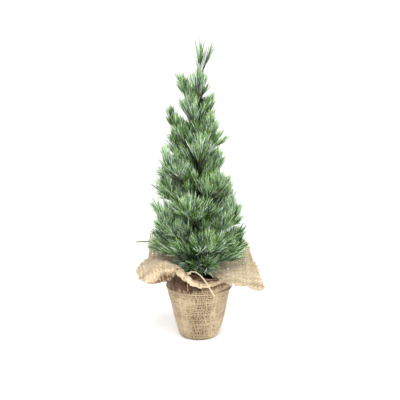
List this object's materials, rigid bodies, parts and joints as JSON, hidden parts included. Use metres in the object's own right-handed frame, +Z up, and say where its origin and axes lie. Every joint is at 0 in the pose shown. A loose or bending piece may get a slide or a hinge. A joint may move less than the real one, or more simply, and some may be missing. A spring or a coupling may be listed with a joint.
{
  "type": "artificial tabletop tree",
  "caption": "Small artificial pine with bendable wired needle sprays on a steel-cored trunk, weighted in a plastic pot wrapped in tied burlap.",
  "frame": {"origin": "centre of the wrapped pot's underside, where it stands on the table", "axes": "+Z up the trunk, -Y towards the front, where the twine's knot is, +X to the viewer's right"},
  "size_m": [0.1866, 0.1489, 0.4403],
  "materials": {
    "pvc_needles": "matte soft plastic film cut into needles, pale frosted tips",
    "green_wire": "twisted steel wire, dull green-brown",
    "bark_tape": "wound floral tape, dull brown",
    "steel_rod": "drawn, dull",
    "pot_plastic": "thin moulded, dark brown",
    "cement": "rough cast cement",
    "burlap": "open plain-weave jute, natural tan",
    "jute_twine": "loosely twisted jute string"
  },
  "bodies": {
    "base": {"pot": "pot_plastic", "ballast": "cement", "trunk_rod": "steel_rod", "trunk_tape": "bark_tape", "burlap_wrap": "burlap", "twine_ring": "jute_twine", "twine_knot": "jute_twine", "twine_tail": "jute_twine"},
    "leader": {"leader_wire": "green_wire", "leader_needles": "pvc_needles"},
    "branch_01": {"branch_01_wire": "green_wire", "branch_01_needles": "pvc_needles"},
    "branch_02": {"branch_02_wire": "green_wire", "branch_02_needles": "pvc_needles"},
    "branch_03": {"branch_03_wire": "green_wire", "branch_03_needles": "pvc_needles"},
    "branch_04": {"branch_04_wire": "green_wire", "branch_04_needles": "pvc_needles"},
    "branch_05": {"branch_05_wire": "green_wire", "branch_05_needles": "pvc_needles"},
    "branch_06": {"branch_06_wire": "green_wire", "branch_06_needles": "pvc_needles"},
    "branch_07": {"branch_07_wire": "green_wire", "branch_07_needles": "pvc_needles"},
    "branch_08": {"branch_08_wire": "green_wire", "branch_08_needles": "pvc_needles"},
    "branch_09": {"branch_09_wire": "green_wire", "branch_09_needles": "pvc_needles"},
    "branch_10": {"branch_10_wire": "green_wire", "branch_10_needles": "pvc_needles"},
    "branch_11": {"branch_11_wire": "green_wire", "branch_11_needles": "pvc_needles"},
    "branch_12": {"branch_12_wire": "green_wire", "branch_12_needles": "pvc_needles"},
    "branch_13": {"branch_13_wire": "green_wire", "branch_13_needles": "pvc_needles"},
    "branch_14": {"branch_14_wire": "green_wire", "branch_14_needles": "pvc_needles"},
    "branch_15": {"branch_15_wire": "green_wire", "branch_15_needles": "pvc_needles"},
    "branch_16": {"branch_16_wire": "green_wire", "branch_16_needles": "pvc_needles"},
    "branch_17": {"branch_17_wire": "green_wire", "branch_17_needles": "pvc_needles"},
    "branch_18": {"branch_18_wire": "green_wire", "branch_18_needles": "pvc_needles"},
    "branch_19": {"branch_19_wire": "green_wire", "branch_19_needles": "pvc_needles"},
    "branch_20": {"branch_20_wire": "green_wire", "branch_20_needles": "pvc_needles"},
    "branch_21": {"branch_21_wire": "green_wire", "branch_21_needles": "pvc_needles"},
    "branch_22": {"branch_22_wire": "green_wire", "branch_22_needles": "pvc_needles"},
    "branch_23": {"branch_23_wire": "green_wire", "branch_23_needles": "pvc_needles"},
    "branch_24": {"branch_24_wire": "green_wire", "branch_24_needles": "pvc_needles"}
  },
  "joints": [
    {"name": "leader_bend", "type": "hinge", "parent": "base", "child": "leader", "pos_m": [0, 0, 0.3694], "axis": [0, 1, 0], "range_deg": [-18, 18]},
    {"name": "branch_01_bend", "type": "hinge", "parent": "base", "child": "branch_01", "pos_m": [0.00518, 0.0011, 0.108], "axis": [-0.2079, 0.9781, 0], "range_deg": [-12, 4]},
    {"name": "branch_02_bend", "type": "hinge", "parent": "base", "child": "branch_02", "pos_m": [-0.00457, 0.00269, 0.11348], "axis": [-0.5075, -0.8616, 0], "range_deg": [-12, 5]},
    {"name": "branch_03_bend", "type": "hinge", "parent": "base", "child": "branch_03", "pos_m": [0.00155, -0.00507, 0.12059], "axis": [0.9563, 0.2924, 0], "range_deg": [-12, 7]},
    {"name": "branch_04_bend", "type": "hinge", "parent": "base", "child": "branch_04", "pos_m": [0.00228, 0.00478, 0.12848], "axis": [-0.9026, 0.4305, 0], "range_deg": [-12, 8]},
    {"name": "branch_05_bend", "type": "hinge", "parent": "base", "child": "branch_05", "pos_m": [-0.00491, -0.00198, 0.13693], "axis": [0.3746, -0.9272, 0], "range_deg": [-12, 10]},
    {"name": "branch_06_bend", "type": "hinge", "parent": "base", "child": "branch_06", "pos_m": [0.00496, -0.00186, 0.14581], "axis": [0.3502, 0.9367, 0], "range_deg": [-12, 11]},
    {"name": "branch_07_bend", "type": "hinge", "parent": "base", "child": "branch_07", "pos_m": [-0.00241, 0.00472, 0.15506], "axis": [-0.891, -0.454, 0], "range_deg": [-11, 13]},
    {"name": "branch_08_bend", "type": "hinge", "parent": "base", "child": "branch_08", "pos_m": [-0.00142, -0.00511, 0.16462], "axis": [0.9636, -0.2672, 0], "range_deg": [-11, 14]},
    {"name": "branch_09_bend", "type": "hinge", "parent": "base", "child": "branch_09", "pos_m": [0.00449, 0.00281, 0.17446], "axis": [-0.5299, 0.848, 0], "range_deg": [-11, 16]},
    {"name": "branch_10_bend", "type": "hinge", "parent": "base", "child": "branch_10", "pos_m": [-0.00527, 0.0006, 0.18455], "axis": [-0.1132, -0.9936, 0], "range_deg": [-11, 17]},
    {"name": "branch_11_bend", "type": "hinge", "parent": "base", "child": "branch_11", "pos_m": [0.00319, -0.00423, 0.19486], "axis": [0.7986, 0.6018, 0], "range_deg": [-11, 19]},
    {"name": "branch_12_bend", "type": "hinge", "parent": "base", "child": "branch_12", "pos_m": [0.00051, 0.00528, 0.20539], "axis": [-0.9954, 0.0958, 0], "range_deg": [-11, 20]},
    {"name": "branch_13_bend", "type": "hinge", "parent": "base", "child": "branch_13", "pos_m": [-0.00445, -0.00289, 0.21611], "axis": [0.5446, -0.8387, 0], "range_deg": [-11, 16]},
    {"name": "branch_14_bend", "type": "hinge", "parent": "base", "child": "branch_14", "pos_m": [0.0053, -0.00005, 0.22701], "axis": [0.0087, 1, 0], "range_deg": [-11, 23]},
    {"name": "branch_15_bend", "type": "hinge", "parent": "base", "child": "branch_15", "pos_m": [-0.00406, 0.00341, 0.23808], "axis": [-0.6428, -0.766, 0], "range_deg": [-11, 25]},
    {"name": "branch_16_bend", "type": "hinge", "parent": "base", "child": "branch_16", "pos_m": [0.00042, -0.00528, 0.2493], "axis": [0.9969, 0.0785, 0], "range_deg": [-11, 25]},
    {"name": "branch_17_bend", "type": "hinge", "parent": "base", "child": "branch_17", "pos_m": [0.00326, 0.00418, 0.26068], "axis": [-0.788, 0.6157, 0], "range_deg": [-11, 25]},
    {"name": "branch_18_bend", "type": "hinge", "parent": "base", "child": "branch_18", "pos_m": [-0.00523, -0.00088, 0.2722], "axis": [0.165, -0.9863, 0], "range_deg": [-11, 25]},
    {"name": "branch_19_bend", "type": "hinge", "parent": "base", "child": "branch_19", "pos_m": [0.00445, -0.00289, 0.28386], "axis": [0.5446, 0.8387, 0], "range_deg": [-10, 25]},
    {"name": "branch_20_bend", "type": "hinge", "parent": "base", "child": "branch_20", "pos_m": [-0.00133, 0.00513, 0.29565], "axis": [-0.9681, -0.2504, 0], "range_deg": [-10, 25]},
    {"name": "branch_21_bend", "type": "hinge", "parent": "base", "child": "branch_21", "pos_m": [-0.00296, -0.00439, 0.30756], "axis": [0.829, -0.5592, 0], "range_deg": [-10, 25]},
    {"name": "branch_22_bend", "type": "hinge", "parent": "base", "child": "branch_22", "pos_m": [0.00461, 0.00261, 0.31959], "axis": [-0.4924, 0.8704, 0], "range_deg": [-10, 25]},
    {"name": "branch_23_bend", "type": "hinge", "parent": "base", "child": "branch_23", "pos_m": [-0.00488, 0.00207, 0.33174], "axis": [-0.3907, -0.9205, 0], "range_deg": [-10, 25]},
    {"name": "branch_24_bend", "type": "hinge", "parent": "base", "child": "branch_24", "pos_m": [0.00005, -0.0053, 0.344], "axis": [1, 0.0087, 0], "range_deg": [-10, 25]}
  ]
}
